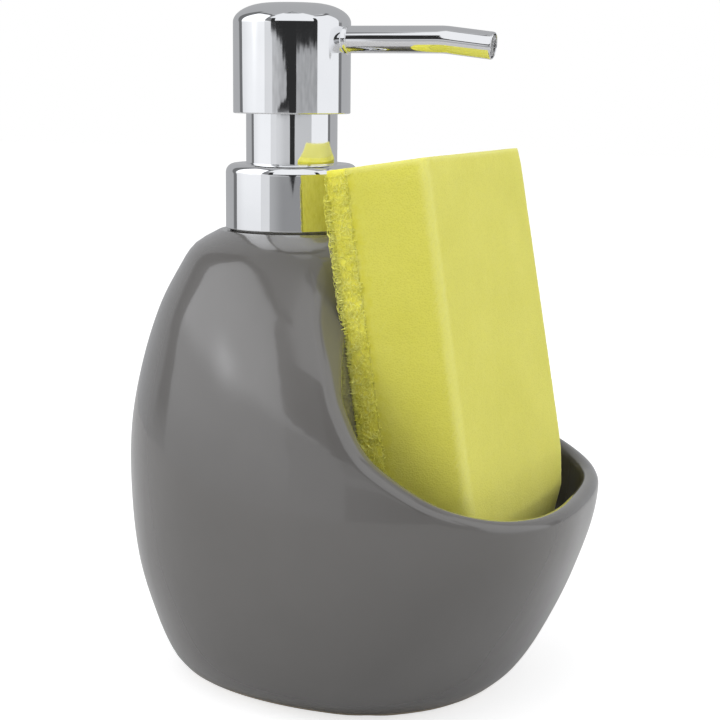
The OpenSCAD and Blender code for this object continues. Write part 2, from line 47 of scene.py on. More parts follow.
# Sizes in millimetres, the same as the CAD's
BODY_H, BACK, FRONT, WIDTH = 113.0, 41.0, 77.4, 108.0
WALL, FLOOR_Z, FILLET = 5.0, 27.0, 15.0
LEAN = math.radians(8.9)
FOOT_W, FOOT_UP = 4.0, 1.4
COLLAR_R, COLLAR_H, COLLAR_EDGE, SHELL = 16.5, 16.1, 2.3, 0.95
SLEEVE_R, HEAD_R, HEAD_H, DOME = 11.4, 14.6, 27.1, 5.0
STROKE = 12.0
SPOUT_R, SPOUT_REACH, SPOUT_RISE, DROOP = 3.3, 51.5, 18.1, math.radians(7)
COLLAR_LIFT, LOOSE_GAP, SOFT_GAP = 0.4, 0.36, 0.35
LAND_MARGIN, LAND_NOSE, SCOOP_GAP, POCKET_ROOT, CORNER = 1.6, 1.71, 5.7, 8, 8.0
FLANGE_W, FLANGE_T = 2.1, 1
COLLAR_Z = BODY_H + COLLAR_LIFT
COLLAR_TOP = COLLAR_Z + COLLAR_H
HEAD_Z = COLLAR_TOP + STROKE + LOOSE_GAP
HEAD_TOP = HEAD_Z + HEAD_H
SPOUT_Z = HEAD_Z + SPOUT_RISE
LAND_R = COLLAR_R + LAND_MARGIN
SCOOP_X = COLLAR_R + SCOOP_GAP
PIVOT_X = SCOOP_X + (BODY_H - FLOOR_Z) * math.tan(LEAN) + POCKET_ROOT

# Body outline: shares of the height, the reaches and the half width
LEVELS = [0, 0.05, 0.13, 0.26, 0.41, 0.56, 0.70, 0.83, 0.92, 0.97, 1]
BACKS = [BACK * v for v in (0.67, 0.75, 0.84, 0.95, 1, 1, 0.925, 0.805, 0.675, 0.58)] + [LAND_R]
FRONTS = [FRONT * v for v in (0.70, 0.78, 0.855, 0.94, 1, 0.985, 0.92, 0.74, 0.57, 0.45)]
FRONTS += [LAND_NOSE * LAND_R]
HALVES = [WIDTH / 2 * v for v in (0.635, 0.78, 0.885, 0.97, 1, 0.97, 0.88, 0.735, 0.595, 0.485)]
HALVES += [LAND_R]
MIDS = [FRONT * v for v in (0.29, 0.32, 0.36, 0.41, 0.46, 0.46, 0.33, 0.16, 0.065, 0.025, 0)]
POWERS = [2, 2, 2.1, 2.35, 2.5, 2.5, 2.25, 2.05, 2, 2, 2]
RIM_X = [SCOOP_X + v * (FRONT - SCOOP_X)
         for v in (0, 0, 0.011, 0.08, 0.136, 0.25, 0.395, 0.576, 0.757, 0.902)]
RIM_Z = [BODY_H * v for v in (1, 0.938, 0.85, 0.76, 0.69, 0.605, 0.553, 0.505, 0.4735, 0.456)]
TIP_Z = 0.452 * BODY_H

# The scene's own: steps of the ceramic skin, and the foot's rounded edge and its waver
HALVINGS = 34
TIP_CUTS, RIM_CUTS, TOP_CUTS = 21, 109, 31
FOOT_CUTS, WALL_CUTS, LIP_CUTS, POCKET_CUTS, FLOOR_CUTS = 6, 71, 11, 41, 17
FOOT_EDGE, FOOT_WAVER = 1.7, 0.14
FILLET_POWER = 0.8


def hermite(us, vs, u):
    """Smooth curve through a table of places and values."""
    us, vs, u = np.asarray(us, float), np.asarray(vs, float), np.asarray(u, float)
    n = len(us)
    a, b = np.maximum(np.arange(n) - 1, 0), np.minimum(np.arange(n) + 1, n - 1)
    m = (vs[b] - vs[a]) / (us[b] - us[a])
    k = np.clip(np.searchsorted(us, u, side="right") - 1, 0, n - 2)
    h = us[k + 1] - us[k]
    s = np.clip((u - us[k]) / h, 0, 1)
    return ((2 * s**3 - 3 * s**2 + 1) * vs[k] + (s**3 - 2 * s**2 + s) * h * m[k]
            + (3 * s**2 - 2 * s**3) * vs[k + 1] + (s**3 - s**2) * h * m[k + 1])


def section(z):
    """Back reach, front reach, half width, widest place and roundness at a height."""
    u = np.clip(np.asarray(z, float) / BODY_H, 0, 1)
    return [hermite(LEVELS, t, u) for t in (BACKS, FRONTS, HALVES, MIDS, POWERS)]


def half_y(x, z, inset):
    """Half width at one place of the section, `inset` inside the skin."""
    back, front, half, mid, power = section(z)
    ahead = np.maximum(0, 1 - np.abs((x - mid) / (front - mid - inset)) ** power)
    behind = np.maximum(0, 1 - ((x - mid) / (back + mid - inset)) ** 2)
    return (half - inset) * np.where(x > mid, ahead ** (1 / power), np.sqrt(behind))


def out_r(a, z, start):
    """Distance from the pocket's middle line out to the skin, found by halving."""
    a, z = np.broadcast_arrays(np.asarray(a, float), np.asarray(z, float))
    back, front, half, mid, power = section(z)
    lo = np.where(z > BODY_H / 2, start, 0.0)
    hi = np.full(z.shape, PIVOT_X + BACK)
    for _ in range(HALVINGS):
        m = (lo + hi) / 2
        x, y = PIVOT_X + m * np.cos(a), m * np.sin(a)
        ahead = np.abs((x - mid) / (front - mid)) ** power + (np.abs(y) / half) ** power
        behind = ((x - mid) / (back + mid)) ** 2 + (y / half) ** 2
        inside = np.where(x > mid, ahead, behind) < 1
        lo, hi = np.where(inside, m, lo), np.where(inside, hi, m)
    return (lo + hi) / 2


def in_r(a, z, start):
    """Distance from the pocket's middle line to the pocket's wall."""
    outer = out_r(a, z, start) - WALL
    c = np.cos(a)
    flat = (PIVOT_X - SCOOP_X - (BODY_H - z) * math.tan(LEAN)) / np.maximum(-c, TINY)
    wall = np.where(c < -TINY, flat, PIVOT_X + BACK)
    h = np.maximum(CORNER - np.abs(outer - wall), 0) / CORNER
    return np.minimum(outer, wall) - h * h * CORNER / 4


def rim_cut(s):
    """Angle, rim height and rim distance at one place along the rim."""
    places = np.arange(len(RIM_X))
    x, z = hermite(places, RIM_X, s), hermite(places, RIM_Z, s)
    y = half_y(x, z, WALL / 2)
    return math.atan2(y, x - PIVOT_X), float(z), math.hypot(x - PIVOT_X, y)


def body_cuts():
    """Slices of one half: across the pocket's front, up along the rim, then round the neck."""
    end = len(RIM_X) - 1
    last, top = rim_cut(end), rim_cut(0)
    cuts = [(u * last[0], last[1] + (TIP_Z - last[1]) * (1 - u * u), 0.0)
            for u in np.linspace(0, 1, TIP_CUTS)]
    cuts += [rim_cut(s) for s in np.linspace(end, 0, RIM_CUTS)[1:]]
    for a in np.linspace(top[0], math.pi, TOP_CUTS)[1:]:
        cuts.append((a, BODY_H, (PIVOT_X - SCOOP_X) / -math.cos(a)))
    return cuts


def body_slice(cut):
    """Outline of one slice as distance and height, from the foot's hollow to the pocket's floor."""
    a, rim, start = cut
    w = float(out_r(a, rim, start) - in_r(a, rim, start))
    lip = min(WALL / 2, 0.48 * w, WALL * WALL / (2 * w))
    zl = rim - lip
    foot = float(out_r(a, 0, 0)) - FOOT_W
    fillet = min(FILLET, float(in_r(a, FLOOR_Z + 8, start)))
    zf = FLOOR_Z + fillet
    rf = float(in_r(a, zf, start))
    pts = [(foot - 2.2, FOOT_UP), (foot - 0.9, FOOT_UP), (foot - 0.25, 0.3), (foot + 0.25, 0.0)]
    for t in np.linspace(0, 1, FOOT_CUTS):
        z = FOOT_EDGE * (1 - math.cos(QUARTER * t))
        pts.append((float(out_r(a, z, 0)) - FOOT_EDGE * (1 - math.sin(QUARTER * t)), z))
    z = FOOT_EDGE + (zl - FOOT_EDGE) * np.linspace(0, 1, WALL_CUTS)[1:]
    pts += list(zip(out_r(np.full(z.shape, a), z, start), z))
    turn = np.linspace(0, QUARTER, LIP_CUTS)[1:]
    z = zl + lip * np.sin(turn)
    pts += list(zip(out_r(np.full(z.shape, a), z, start) - lip * (1 - np.cos(turn)), z))
    z = zl + lip * np.sin(turn[::-1])
    pts += list(zip(in_r(a, z, start) + lip * (1 - np.cos(turn[::-1])), z))
    z = zf + np.linspace(1, 0, POCKET_CUTS) * (zl - zf)
    pts += list(zip(in_r(a, z, start), z))
    for u in np.linspace(0, 1, FLOOR_CUTS)[1:-1]:
        pts.append((rf * math.cos(QUARTER * u) ** FILLET_POWER,
                    zf - fillet * math.sin(QUARTER * u) ** FILLET_POWER))
    return pts


# Mesh helpers
@contextmanager
def editing(mesh):
    """Opens a mesh for editing and writes it back."""
    bm = bmesh.new()
    bm.from_mesh(mesh)
    yield bm
    bm.to_mesh(mesh)
    bm.free()


def add_object(name, data):
    obj = bpy.data.objects.new(name, data)
    bpy.context.scene.collection.objects.link(obj)
    return obj


def make(name, verts, faces):
    mesh = bpy.data.meshes.new(name)
    mesh.from_pydata([tuple(float(c) for c in v) for v in verts], [], faces)
    mesh.validate()
    with editing(mesh) as bm:
        bmesh.ops.recalc_face_normals(bm, faces=bm.faces)
    mesh.shade_smooth()
    return add_object(name, mesh)


def crease(obj, degrees):
    """Marks the edges that bend more than this as sharp."""
    with editing(obj.data) as bm:
        for e in bm.edges:
            if len(e.link_faces) == 2 and e.calc_face_angle(0) > math.radians(degrees):
                e.smooth = False


def band(a, b, n):
    """Faces between two closed rings of n points that start at a and b."""
    return [(a + k, a + (k + 1) % n, b + (k + 1) % n, b + k) for k in range(n)]


def lathe(name, profile, sides, axis="z", centre=(0, 0, 0)):
    """Closed profile of (radius, height) pairs in millimetres turned round an axis."""
    n = len(profile)
    verts, faces = [], []
    for i in range(sides):
        c, s = math.cos(TAU * i / sides), math.sin(TAU * i / sides)
        for r, h in profile:
            p = (r * c, r * s, h) if axis == "z" else (h, r * c, r * s)
            verts.append([(centre[k] + p[k]) * MM for k in range(3)])
    for i in range(sides):
        a, b = i * n, (i + 1) % sides * n
        for k in range(n):
            m = (k + 1) % n
            faces.append((a + k, b + k, b + m, a + m))
    obj = make(name, verts, faces)
    with editing(obj.data) as bm:
        bmesh.ops.remove_doubles(bm, verts=bm.verts, dist=1e-7)
        bmesh.ops.dissolve_degenerate(bm, dist=1e-7, edges=bm.edges)
        bmesh.ops.recalc_face_normals(bm, faces=bm.faces)
    obj.data.shade_smooth()
    return obj


def arc(cx, cz, r, a0, a1, n):
    """Points of a circle's arc between two angles in degrees."""
    return [(cx + r * math.cos(a), cz + r * math.sin(a))
            for a in np.linspace(math.radians(a0), math.radians(a1), n)]


# Node helpers; m is a material or the world
def blank(m):
    m.use_nodes = True
    m.node_tree.nodes.clear()
    return m


def node(m, kind, **values):
    """New node; each value goes to the input of that name, or else to the setting."""
    n = m.node_tree.nodes.new(kind)
    for k, v in values.items():
        if k in n.inputs:
            n.inputs[k].default_value = v
        else:
            setattr(n, k, v)
    return n


def link(m, a, b):
    m.node_tree.links.new(a, b)


def fill(n, values):
    """Sets a node's inputs by name."""
    for k, v in values.items():
        n.inputs[k].default_value = v


def shader(name, kind="ShaderNodeBsdfPrincipled"):
    """New material with one shader on its output."""
    m = blank(bpy.data.materials.new(name))
    out, b = node(m, "ShaderNodeOutputMaterial"), node(m, kind)
    link(m, b.outputs[0], out.inputs[0])
    return m, b


def coords(m):
    return node(m, "ShaderNodeTexCoord").outputs["Object"]


def noise_tex(m, vec, scale, detail, rough=0.55):
    n = node(m, "ShaderNodeTexNoise", Scale=scale, Detail=detail, Roughness=rough)
    link(m, vec, n.inputs["Vector"])
    return n.outputs["Fac"]


def spread(m, fac, lo, hi, f0=0.3, f1=0.7):
    """Carries f0..f1 over to lo..hi; the defaults suit a noise."""
    n = node(m, "ShaderNodeMapRange")
    fill(n, {"From Min": f0, "From Max": f1, "To Min": lo, "To Max": hi})
    link(m, fac, n.inputs["Value"])
    return n.outputs["Result"]


def ramp(m, fac, first, last):
    """Colour ramp between two (place, colour) stops."""
    n = node(m, "ShaderNodeValToRGB")
    for element, (place, colour) in zip(n.color_ramp.elements, (first, last)):
        element.position, element.color = place, (*colour, 1)
    link(m, fac, n.inputs["Fac"])
    return n.outputs["Color"]


def bump(m, b, heights):
    """Stacks bump maps given as (height, strength, distance)."""
    prev = None
    for h, strength, dist in heights:
        n = node(m, "ShaderNodeBump", Strength=strength, Distance=dist)
        link(m, h, n.inputs["Height"])
        if prev is not None:
            link(m, prev, n.inputs["Normal"])
        prev = n.outputs["Normal"]
    link(m, prev, b.inputs["Normal"])
    return prev


def rgb(r, g, b):
    """Colour written as screen values."""
    return tuple(((c / 255 + 0.055) / 1.055) ** 2.4 if c > 10 else c / 255 / 12.92
                 for c in (r, g, b))


# Materials
def glaze_material():
    m, b = shader("grey_glaze")
    v = coords(m)
    cloud = noise_tex(m, v, 24, 4)
    link(m, ramp(m, cloud, (0.3, rgb(94, 92, 90)), (0.7, rgb(99, 97, 95))), b.inputs["Base Color"])
    link(m, spread(m, noise_tex(m, v, 60, 3), 0.20, 0.27), b.inputs["Roughness"])
    fill(b, {"IOR": 1.5, "Coat Weight": 1.0, "Coat Roughness": 0.055, "Coat IOR": 1.5})
    peel = noise_tex(m, v, 95, 2, 0.4)
    fine = noise_tex(m, v, 420, 2, 0.5)
    n = bump(m, b, [(peel, 0.12, 0.0006), (fine, 0.05, 0.0001)])
    link(m, n, b.inputs["Coat Normal"])
    return m


def bisque_material():
    m, b = shader("bare_clay")
    grain = noise_tex(m, coords(m), 900, 4)
    tone = ramp(m, grain, (0.3, rgb(176, 160, 134)), (0.7, rgb(214, 201, 178)))
    link(m, tone, b.inputs["Base Color"])
    link(m, spread(m, grain, 0.75, 0.95), b.inputs["Roughness"])
    bump(m, b, [(grain, 0.4, 0.0002)])
    return m


def chrome_material():
    m, b = shader("bright_chrome")
    v = coords(m)
    haze = noise_tex(m, v, 70, 4)
    tone = ramp(m, haze, (0.3, (0.86, 0.865, 0.875)), (0.7, (0.90, 0.90, 0.905)))
    link(m, tone, b.inputs["Base Color"])
    fill(b, {"Metallic": 1.0})
    link(m, spread(m, noise_tex(m, v, 160, 4), 0.02, 0.055), b.inputs["Roughness"])
    wave = noise_tex(m, v, 55, 2, 0.4)
    fine = noise_tex(m, v, 320, 2, 0.5)
    bump(m, b, [(wave, 0.10, 0.0004), (fine, 0.04, 0.00006)])
    return m


def plastic_material(name, low, high, roughness, see_through=0.0, metal=0.0, scale=180):
    m, b = shader(name)
    v = coords(m)
    link(m, ramp(m, noise_tex(m, v, scale, 4), (0.3, low), (0.7, high)), b.inputs["Base Color"])
    worn = noise_tex(m, v, scale * 3, 3)
    link(m, spread(m, worn, roughness * 0.8, min(1, roughness * 1.25)), b.inputs["Roughness"])
    fill(b, {"IOR": 1.5, "Transmission Weight": see_through, "Metallic": metal})
    bump(m, b, [(noise_tex(m, v, scale * 8, 2), 0.08, 0.00005)])
    return m


def foam_material():
    m, b = shader("yellow_foam")
    v = coords(m)
    cell = node(m, "ShaderNodeTexVoronoi", Scale=2300.0, Randomness=1.0)
    link(m, v, cell.inputs["Vector"])
    mott = noise_tex(m, v, 60, 4)
    grain = noise_tex(m, v, 520, 3, 0.6)
    tone = ramp(m, mott, (0.3, rgb(218, 214, 88)), (0.7, rgb(224, 220, 98)))
    # Painted shade in the pores: the Voronoi cells darken the foam's colour at their middles
    dark = ramp(m, cell.outputs["Distance"], (0.05, (0.89, 0.88, 0.78)), (0.45, (1, 1, 1)))
    mul = node(m, "ShaderNodeMix", data_type="RGBA", blend_type="MULTIPLY")
    mul.inputs["Factor"].default_value = 1.0
    link(m, tone, mul.inputs["A"])
    link(m, dark, mul.inputs["B"])
    # Painted highlight: convex edges, found by pointiness, are mixed towards a pale yellow
    pointed = node(m, "ShaderNodeNewGeometry").outputs["Pointiness"]
    pale = node(m, "ShaderNodeMix", data_type="RGBA")
    pale.inputs["B"].default_value = (*rgb(236, 234, 150), 1)
    link(m, spread(m, pointed, 0.0, 0.42, 0.502, 0.53), pale.inputs["Factor"])
    link(m, mul.outputs["Result"], pale.inputs["A"])
    # Next to the pad the foam takes the pad's colour, with a frayed edge
    depth = node(m, "ShaderNodeAttribute", attribute_name="depth").outputs["Fac"]
    fray = node(m, "ShaderNodeMath", operation="ADD")
    link(m, depth, fray.inputs[0])
    link(m, spread(m, noise_tex(m, v, 420, 3), -1.6, 1.6), fray.inputs[1])
    join = node(m, "ShaderNodeMix", data_type="RGBA")
    join.inputs["A"].default_value = (*rgb(214, 208, 64), 1)
    link(m, spread(m, fray.outputs[0], 0.0, 1.0, -0.6, 3.2), join.inputs["Factor"])
    link(m, pale.outputs["Result"], join.inputs["B"])
    link(m, join.outputs["Result"], b.inputs["Base Color"])
    link(m, spread(m, mott, 0.85, 0.98), b.inputs["Roughness"])
    fill(b, {"Specular IOR Level": 0.15, "Subsurface Weight": 0.35,
             "Subsurface Radius": (1.0, 0.95, 0.25), "Subsurface Scale": 0.003,
             "Sheen Weight": 0.15, "Sheen Roughness": 0.6})
    bump(m, b, [(grain, 0.12, 0.0003), (cell.outputs["Distance"], 0.3, 0.0002)])
    return m


def pad_material(name, low, high, soft, scale):
    m, b = shader(name)
    v = coords(m)
    fibre = noise_tex(m, v, scale, 5, 0.65)
    wide = noise_tex(m, v, 110, 3)
    both = node(m, "ShaderNodeMath", operation="MULTIPLY")
    link(m, fibre, both.inputs[0])
    link(m, spread(m, wide, 0.8, 1.2), both.inputs[1])
    link(m, ramp(m, both.outputs[0], (0.3, low), (0.62, high)), b.inputs["Base Color"])
    link(m, spread(m, fibre, 0.6, 0.85), b.inputs["Roughness"])
    fill(b, {"Specular IOR Level": 0.08, "Subsurface Weight": soft,
             "Subsurface Radius": (1.0, 0.95, 0.3), "Subsurface Scale": 0.001})
    bump(m, b, [(fibre, 0.3, 0.0003)])
    return m


GLAZE, CLAY, CHROME = glaze_material(), bisque_material(), chrome_material()
WHITE = plastic_material("white_plastic", rgb(226, 226, 222), rgb(236, 236, 232), 0.35)
MILKY = plastic_material("milky_plastic", (0.86, 0.87, 0.86), (0.92, 0.92, 0.91), 0.25,
                         see_through=0.55)
SEAL = plastic_material("seal_rubber", rgb(214, 214, 208), rgb(226, 226, 220), 0.6)
STEEL = plastic_material("spring_steel", (0.55, 0.55, 0.56), (0.64, 0.64, 0.65), 0.25,
                         metal=1.0, scale=600)
FOAM = foam_material()
PAD = pad_material("pad_fibre", rgb(226, 220, 82), rgb(241, 236, 102), 0.6, 520)
STRAND = pad_material("pad_strand", rgb(248, 244, 92), rgb(254, 253, 144), 0.1, 300)

for material, names in (
        (WHITE, ("neck_insert", "pump_housing", "stem_guide", "ball_cage", "piston",
                 "piston_stem", "actuator_core", "closure_ring")),
        (SEAL, ("neck_gasket",)),
        (MILKY, ("dip_tube", "spout_liner")),
        (STEEL, ("check_ball", "pump_spring"))):
    for name in names:
        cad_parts[name].data.materials.clear()
        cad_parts[name].data.materials.append(material)


# Ceramic body, slice by slice round the pocket's middle line
def build_body():
    cuts = body_cuts()
    half = len(cuts)
    turn = 2 * (half - 1)
    outlines = [body_slice(c) for c in cuts]
    n = len(outlines[0])
    verts, faces = [], []
    for i in range(turn):
        h = i if i < half else turn - i
        a = cuts[h][0] if i < half else -cuts[h][0]
        lift = FOOT_WAVER * noise.noise(
            Vector((math.cos(TAU * i / turn) * 4, math.sin(TAU * i / turn) * 4, 3.1)))
        for k, (r, z) in enumerate(outlines[h]):
            if 4 < k < 9:
                z += lift
            verts.append(((PIVOT_X + r * math.cos(a)) * MM, r * math.sin(a) * MM, z * MM))
    low, floor = len(verts), len(verts) + 1
    verts += [(PIVOT_X * MM, 0, FOOT_UP * MM), (PIVOT_X * MM, 0, FLOOR_Z * MM)]
    for i in range(turn):
        a, b = i * n, (i + 1) % turn * n
        faces.append((low, a, b))
        for k in range(n - 1):
            faces.append((a + k, a + k + 1, b + k + 1, b + k))
        faces.append((a + n - 1, floor, b + n - 1))
    obj = make("ceramic_skin", verts, faces)
    obj.data.materials.append(GLAZE)
    obj.data.materials.append(CLAY)
    clay_top, hollow_top = 0.9 * MM, 1.6 * MM
    for p in obj.data.polygons:
        if p.center.z < clay_top or (p.center.z < hollow_top and p.normal.z < -0.8):
            p.material_index = 1
    return obj


body = build_body()
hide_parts("ceramic_body")
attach(body, "caddy")

# Bright collar, sleeve and head, turned round the pump axis, and the spout's boss
WIDE_SIDES, SLEEVE_SIDES, BOSS_SIDES, SPOUT_SIDES = 192, 160, 72, 64
E = COLLAR_EDGE
collar = lathe("collar_skin", (
    arc(COLLAR_R - 0.25, COLLAR_Z + 0.25, 0.25, -90, 0, 5)
    + [(COLLAR_R, COLLAR_Z + 0.4), (COLLAR_R, COLLAR_TOP - E - 0.15)]
    + arc(COLLAR_R - E, COLLAR_TOP - E, E, 0, 90, 24)
    + [(SLEEVE_R + 0.45, COLLAR_TOP), (SLEEVE_R + 0.2, COLLAR_TOP - 0.12),
       (SLEEVE_R + 0.12, COLLAR_TOP - 0.4), (SLEEVE_R + 0.12, COLLAR_TOP - SHELL)]
    + arc(COLLAR_R - E, COLLAR_TOP - E, E - SHELL, 90, 0, 8)
    + [(COLLAR_R - SHELL, COLLAR_Z)]), WIDE_SIDES)
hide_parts("collar_shell")
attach(collar, "collar")
SLEEVE_TOP = SPOUT_Z - 3.9 - STROKE - SHELL / 2
CLOSURE_TOP = COLLAR_TOP - SHELL - FLANGE_T
FLANGE_TOP = CLOSURE_TOP + 0.98
sleeve = lathe("sleeve_skin", [
    (SLEEVE_R - SHELL, CLOSURE_TOP), (SLEEVE_R + FLANGE_W, CLOSURE_TOP),
    (SLEEVE_R + FLANGE_W, FLANGE_TOP), (SLEEVE_R, FLANGE_TOP), (SLEEVE_R, SLEEVE_TOP - 0.3),
    (SLEEVE_R - 0.3, SLEEVE_TOP), (SLEEVE_R - SHELL, SLEEVE_TOP)], SLEEVE_SIDES)
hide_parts("stem_sleeve")
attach(sleeve, "collar")


def dome(r, top, e, n, swell, flat=5):
    """Head's domed top from the wall in to the axis, nearly flat inside `flat`."""
    pts = []
    for a in np.linspace(0, QUARTER, n):
        pts.append((flat + (r - flat) * math.cos(a), top - swell - (e - swell) * (1 - math.sin(a))))
    for u in np.linspace(0, 1, 6)[1:]:
        pts.append((flat * (1 - u), top - swell * (1 - u) ** 2))
    return pts


head = lathe("head_skin", (
    arc(HEAD_R - 0.3, HEAD_Z + 0.3, 0.3, -90, 0, 6)
    + [(HEAD_R, HEAD_Z + 0.45), (HEAD_R, HEAD_TOP - DOME - 0.15)]
    + dome(HEAD_R, HEAD_TOP, DOME, 30, 0.15)
    + dome(HEAD_R - SHELL, HEAD_TOP - SHELL, DOME, 12, 0.1)[::-1]
    + [(HEAD_R - SHELL, HEAD_Z)]), WIDE_SIDES)
BOSS = ((-0.05, -1.2), (0.7, -1.2), (0.6, -0.3), (0.5, 0.05),
        (0.38, 0.3), (0.24, 0.48), (0.08, 0.55), (-0.05, 0.55))
boss = lathe("spout_boss", [(SPOUT_R + r, HEAD_R + h) for r, h in BOSS],
             BOSS_SIDES, "x", (0, 0, SPOUT_Z))
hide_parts("head_shell")
for piece in (head, boss):
    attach(piece, "head")

BEND_R, TIP_L = 20.0, 11


def spout_line(x0, n):
    """Middle line of the spout: level, a bend, then straight to the tip."""
    bx = SPOUT_REACH - TIP_L * math.cos(DROOP) - BEND_R * math.sin(DROOP)
    pts = [(x, SPOUT_Z, 0.0) for x in np.linspace(x0, bx, n)]
    for a in np.linspace(0, DROOP, 9)[1:]:
        pts.append((bx + BEND_R * math.sin(a), SPOUT_Z - BEND_R * (1 - math.cos(a)), a))
    x1, z1 = pts[-1][0], pts[-1][1]
    for t in np.linspace(0, TIP_L, 7)[1:]:
        pts.append((x1 + t * math.cos(DROOP), z1 - t * math.sin(DROOP), DROOP))
    return pts


def tube(name, line, outer, inner, sides):
    """Hollow tube along a line in the X-Z plane; outer and inner give the radius at each point."""
    verts, faces = [], []
    loops = list(zip(line, outer)) + list(zip(line[::-1], inner[::-1]))
    for (x, z, a), r in loops:
        for k in range(sides):
            b = TAU * k / sides
            v = r * math.cos(b)
            verts.append(((x + v * math.sin(a)) * MM, r * math.sin(b) * MM,
                          (z + v * math.cos(a)) * MM))
    m = len(loops)
    for i in range(m):
        faces += band(i * sides, (i + 1) % m * sides, sides)
    return make(name, verts, faces)


line = spout_line(HEAD_R - 3, 8)
tail = line[-1]
for back in (0.5, 0.25, 0.1):
    line.insert(-1, (tail[0] - back * math.cos(DROOP), tail[1] + back * math.sin(DROOP), DROOP))
outer = [SPOUT_R] * (len(line) - 3) + [SPOUT_R - 0.05, SPOUT_R - 0.13, SPOUT_R - 0.27]
inner = [SPOUT_R - 0.45] * (len(line) - 1) + [SPOUT_R - 0.38]
spout = tube("spout_skin", line, outer, inner, SPOUT_SIDES)
crease(spout, 50)
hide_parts("spout")
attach(spout, "head")
for piece in (collar, sleeve, head, boss, spout):
    crease(piece, 40)
    piece.data.materials.append(CHROME)

# Sponge: a foam block with a scouring pad on its back, in its own leaning frame.
# The shares are the CAD's; the swell, in millimetres, is the scene's own.
SP_L, SP_W, FOAM_T, PAD_T = 103.4, 65.0, 20.8, 4.8
SP_TURN = math.radians(5.4)
SP_X = (SCOOP_X + (BODY_H - FLOOR_Z - SOFT_GAP) * math.tan(LEAN) + SOFT_GAP / math.cos(LEAN)
        + SP_W / 2 * math.sin(SP_TURN))
SP_Y = -SP_L / 2 * math.sin(LEAN) * math.sin(SP_TURN)
SP_Z = FLOOR_Z + SOFT_GAP
SP_LEVELS = [0, 0.03, 0.08, 0.15, 0.24, 0.34, 0.96, 1]
SP_WIDE = [0.6, 0.8, 0.93, 0.99, 1, 1, 1, 0.985]
SP_THICK = [0.52, 0.76, 0.91, 0.98, 1, 1, 1, 0.985]
SP_CORNER = [0.42, 0.38, 0.28, 0.17, 0.1, 0.07, 0.06, 0.06]
SP_TOE = [0.6, 0.2, 0.03, 0, 0, 0, 0, 0.06]
SP_SWELL = [0.3, 0.5, 0.9, 1.3, 1.45, 1.3, 0, 0]
SIDE_N, END_RINGS, MID_RINGS = 230, 9, 120
ROUGH, GRAIN = 0.12, 1.3


def place(p):
    """From the sponge's own frame, in millimetres, to the scene's."""
    x, y, z = p
    along = x * math.cos(LEAN) - z * math.sin(LEAN)
    up = x * math.sin(LEAN) + z * math.cos(LEAN)
    c, s = math.cos(SP_TURN), math.sin(SP_TURN)
    return ((SP_X + along * c + y * s) * MM, (SP_Y - along * s + y * c) * MM, (SP_Z + up) * MM)


def sponge_profile(u, first, last):
    """Rounded rectangle at one place along the sponge, evenly spaced points."""
    wide, thick, corner, toe, swell = (
        float(np.interp(u, SP_LEVELS, t)) for t in (SP_WIDE, SP_THICK, SP_CORNER, SP_TOE, SP_SWELL))
    w = SP_W / 2 * wide
    if first > 0:
        x0, x1 = first, PAD_T + FOAM_T * thick
        near, far = 0.1, max(1.7, corner * FOAM_T)
    else:
        x0, x1 = toe * PAD_T, last
        near, far, swell = 0.6, 0.1, 0
    pts = []
    for cx, sx, sy, r, a0 in ((x1, 1, 1, far, 0), (x0, -1, 1, near, 90),
                              (x0, -1, -1, near, 180), (x1, 1, -1, far, 270)):
        for a in np.linspace(a0, a0 + 90, 9):
            a = math.radians(a)
            x, y = cx - sx * r + r * math.cos(a), sy * (w - r) + r * math.sin(a)
            pts.append((x + swell * (x - x0) / (x1 - x0) * (0.5 + 0.5 * y / w), y))
    loop = np.array(pts + pts[:1])
    run = np.concatenate([[0], np.cumsum(np.hypot(*np.diff(loop, axis=0).T))])
    t = np.linspace(0, run[-1], SIDE_N + 1)[:-1]
    return np.stack([np.interp(t, run, loop[:, 0]), np.interp(t, run, loop[:, 1])], 1)


def sponge_block(name, first, last, proud):
    """Block whose ends are closed by shrinking rings, roughened by noise and raised by `proud`."""
    us = np.concatenate([[0] * END_RINGS, np.linspace(0, 1, MID_RINGS), [1] * END_RINGS])
    shares = np.concatenate([np.linspace(0.04, 0.985, END_RINGS), np.ones(MID_RINGS),
                             np.linspace(0.985, 0.04, END_RINGS)])
    verts, faces = [], []
    for u, share in zip(us, shares):
        p = sponge_profile(u, first, last)
        c = p.mean(0)
        for x, y in c + (p - c) * share:
            verts.append((x, y, u * SP_L))
    for i in range(len(us) - 1):
        faces += band(i * SIDE_N, (i + 1) * SIDE_N, SIDE_N)
    faces.append(tuple(range(SIDE_N)))
    faces.append(tuple(range(len(us) * SIDE_N - SIDE_N, len(us) * SIDE_N)))
    obj = make(name, [place(v) for v in verts], faces)
    with editing(obj.data) as bm:
        bmesh.ops.smooth_vert(bm, verts=bm.verts, factor=0.5,
                              use_axis_x=True, use_axis_y=True, use_axis_z=True)
        bm.normal_update()
        for v in bm.verts:
            p = v.co / MM
            d = 0.5 * (noise.noise(p * GRAIN) + 0.6 * noise.noise(p * GRAIN * 2.3)) * ROUGH
            v.co += v.normal * (d - 0.5 * ROUGH + proud) * MM
    depth = obj.data.attributes.new("depth", "FLOAT", "POINT")
    depth.data.foreach_set("value", [v[0] - PAD_T for v in verts])
    obj.data.shade_smooth()
    return obj


foam = sponge_block("foam_skin", PAD_T - 0.1, PAD_T + FOAM_T, 0.0)
foam.data.materials.append(FOAM)
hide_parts("foam_block")
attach(foam, "sponge")
pad = sponge_block("pad_skin", 0.0, PAD_T + 0.8, 0.04)
pad.data.materials.append(PAD)
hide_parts("scouring_pad")
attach(pad, "sponge")


